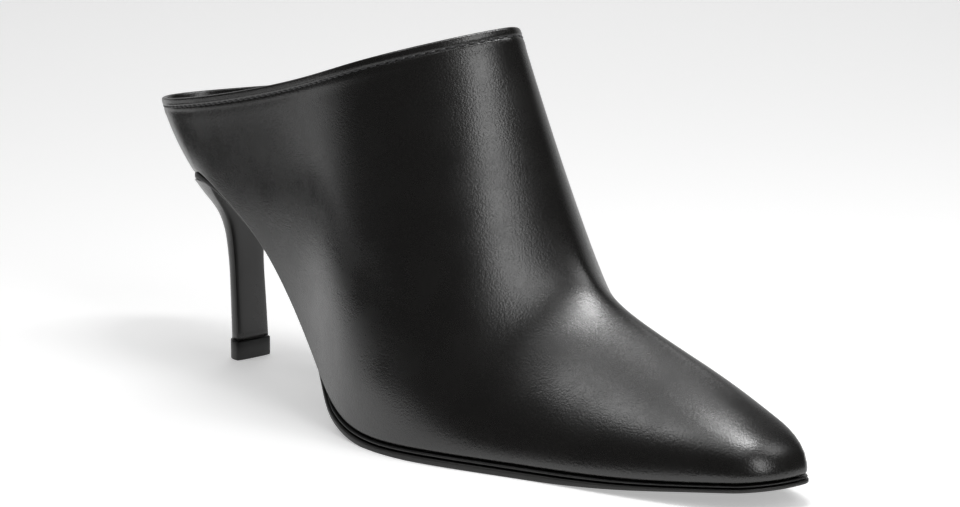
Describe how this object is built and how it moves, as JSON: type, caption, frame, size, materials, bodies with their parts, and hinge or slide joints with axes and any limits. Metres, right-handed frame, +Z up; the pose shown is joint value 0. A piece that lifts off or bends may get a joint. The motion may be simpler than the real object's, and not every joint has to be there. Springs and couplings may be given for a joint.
{
  "type": "mule shoe",
  "caption": "Right high-cut mule with a long pointed toe, closed vamp, low open back and slim mid-height heel, in smooth black leather.",
  "frame": {"origin": "on the floor under the middle of the whole shoe's box", "axes": "+X from heel to toe, +Y to the wearer's left (the inner side of this right shoe), +Z up"},
  "size_m": [0.2576, 0.0782, 0.1145],
  "materials": {
    "calf": "smooth black calf with a fine pebbled grain, satin",
    "lining": "matt dark lining leather",
    "sock": "matt padded sock leather",
    "stitch": "waxed dark grey thread",
    "sole": "satin black sole edge and matt tread",
    "heel_cover": "black heel cover, glossier than the upper",
    "tip": "hard black top piece, satin"
  },
  "bodies": {
    "root": {"upper": "calf", "insole": "sock", "rand": "sole", "outsole": "sole", "heel": "heel_cover", "top_piece": "tip"}
  },
  "joints": []
}
